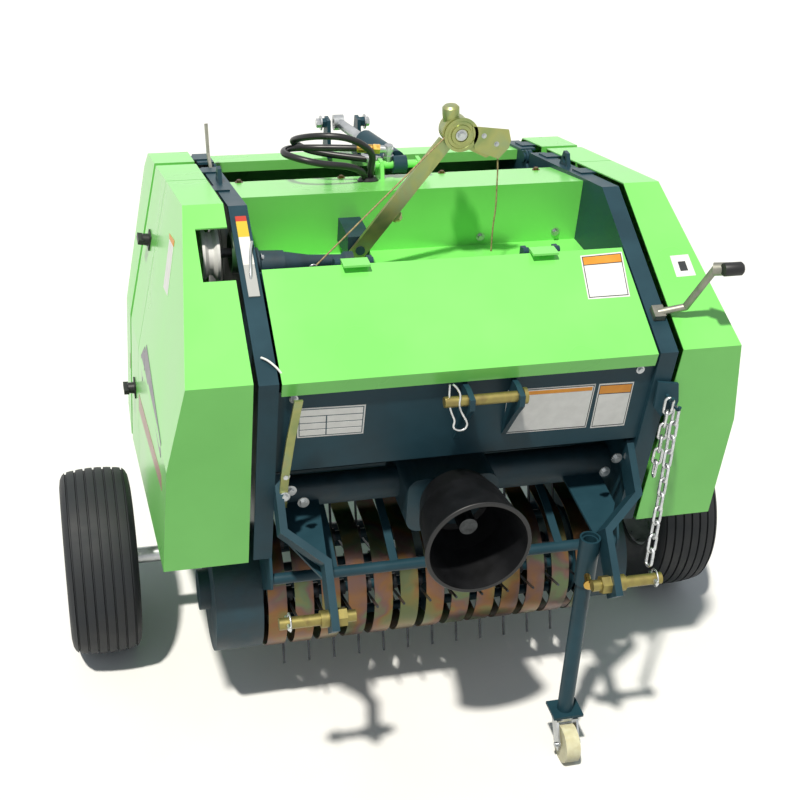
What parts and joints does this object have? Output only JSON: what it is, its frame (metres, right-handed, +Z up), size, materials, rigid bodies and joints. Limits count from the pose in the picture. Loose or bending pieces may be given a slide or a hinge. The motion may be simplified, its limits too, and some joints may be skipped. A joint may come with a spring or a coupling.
{
  "type": "round baler",
  "caption": "Small tractor-mounted round baler with drum pick-up, hinged tailgate, twine arm and jack caster, parked on its tyres.",
  "frame": {"origin": "middle of the machine's footprint box, on the floor", "axes": "+X to the right seen from the front, +Y towards the tailgate, +Z up"},
  "size_m": [1.483, 1.166, 1.243],
  "materials": {
    "green_paint": "gloss",
    "teal_paint": "satin",
    "cast_case": "satin",
    "tyre": "matt",
    "yellow_zinc": "yellow zinc plated",
    "bright_steel": "bright",
    "plated_lever": "plated",
    "black_plastic": "moulded",
    "white_nylon": "moulded",
    "indicator_paint": "gloss"
  },
  "bodies": {
    "root": {"side_plate_left": "teal_paint", "side_plate_right": "teal_paint", "front_panel": "teal_paint", "crop_wall": "green_paint", "top_link_bracket": "teal_paint", "top_link_pin": "yellow_zinc", "front_rollers": "teal_paint", "front_cover_left": "green_paint", "front_cover_right": "green_paint", "middle_covers": "green_paint", "gearbox": "cast_case", "pto_guard": "black_plastic", "hitch_arms": "teal_paint", "hitch_pins": "yellow_zinc", "crop_guard": "teal_paint", "jack_sleeve": "teal_paint", "pickup_strippers": "yellow_zinc", "pickup_cam_housing": "cast_case", "pickup_drive_housing": "cast_case", "axle_tube": "teal_paint", "axle_stubs": "bright_steel", "twine_case": "cast_case", "density_indicator": "indicator_paint", "twine_pulley": "white_nylon", "control_lever": "plated_lever"},
    "tailgate": {"gate_plates": "teal_paint", "gate_sheet": "green_paint", "gate_rollers": "teal_paint", "gate_covers": "green_paint", "gate_lugs": "teal_paint"},
    "lid": {"lid": "green_paint"},
    "cylinder_barrel": {"cylinder_barrel": "teal_paint"},
    "cylinder_rod": {"cylinder_rod": "bright_steel"},
    "twine_arm": {"twine_arm": "yellow_zinc", "twine_head": "yellow_zinc"},
    "jack_leg": {"jack_leg": "teal_paint"},
    "caster_fork": {"caster_fork": "bright_steel"},
    "caster_wheel": {"caster_wheel": "white_nylon"},
    "wheel_left": {"tyre_left": "tyre", "rim_left": "bright_steel"},
    "wheel_right": {"tyre_right": "tyre", "rim_right": "bright_steel"},
    "pickup_reel": {"pickup_reel": "teal_paint", "pickup_tines": "bright_steel"},
    "pto_shaft": {"pto_shaft": "bright_steel"}
  },
  "joints": [
    {"name": "wheel_left_spin", "type": "hinge", "parent": "root", "child": "wheel_left", "pos_m": [-0.659, 0.06102, 0.203], "axis": [1, 0, 0], "continuous": true},
    {"name": "wheel_right_spin", "type": "hinge", "parent": "root", "child": "wheel_right", "pos_m": [0.659, 0.06102, 0.203], "axis": [1, 0, 0], "continuous": true},
    {"name": "reel_spin", "type": "hinge", "parent": "root", "child": "pickup_reel", "pos_m": [0, -0.17698, 0.28], "axis": [1, 0, 0], "continuous": true},
    {"name": "pto_spin", "type": "hinge", "parent": "root", "child": "pto_shaft", "pos_m": [0, -0.38898, 0.59], "axis": [0, -1, 0], "continuous": true},
    {"name": "lid_hinge", "type": "hinge", "parent": "root", "child": "lid", "pos_m": [0, -0.20698, 1.02], "axis": [-1, 0, 0], "range_deg": [0, 95]},
    {"name": "tailgate_hinge", "type": "hinge", "parent": "root", "child": "tailgate", "pos_m": [0, 0.36802, 0.975], "axis": [1, 0, 0], "range_deg": [0, 55]},
    {"name": "cylinder_pivot", "type": "hinge", "parent": "root", "child": "cylinder_barrel", "pos_m": [0.004, 0.17502, 1.05], "axis": [1, 0, 0], "range_deg": [0, 9.64]},
    {"name": "cylinder_slide", "type": "slide", "parent": "cylinder_barrel", "child": "cylinder_rod", "axis": [-0.2594, 0.9657, -0.0144], "range_m": [-0.0917, 0]},
    {"name": "twine_arm_swing", "type": "hinge", "parent": "root", "child": "twine_arm", "pos_m": [-0.133, -0.07698, 0.981], "axis": [0, 1, 0], "range_deg": [-75, 25]},
    {"name": "jack_slide", "type": "slide", "parent": "root", "child": "jack_leg", "axis": [0, 0, 1], "range_m": [0, 0.25]},
    {"name": "caster_swivel", "type": "hinge", "parent": "jack_leg", "child": "caster_fork", "pos_m": [0.243, -0.47898, 0.09], "axis": [0, 0, 1], "continuous": true},
    {"name": "caster_spin", "type": "hinge", "parent": "caster_fork", "child": "caster_wheel", "pos_m": [0.243, -0.51398, 0.039], "axis": [1, 0, 0], "continuous": true}
  ],
  "couplings": [
    {"joint": "cylinder_pivot", "follows": "tailgate_hinge", "ratio": 0.17341},
    {"joint": "cylinder_slide", "follows": "tailgate_hinge", "m_per_rad": -0.095041}
  ]
}
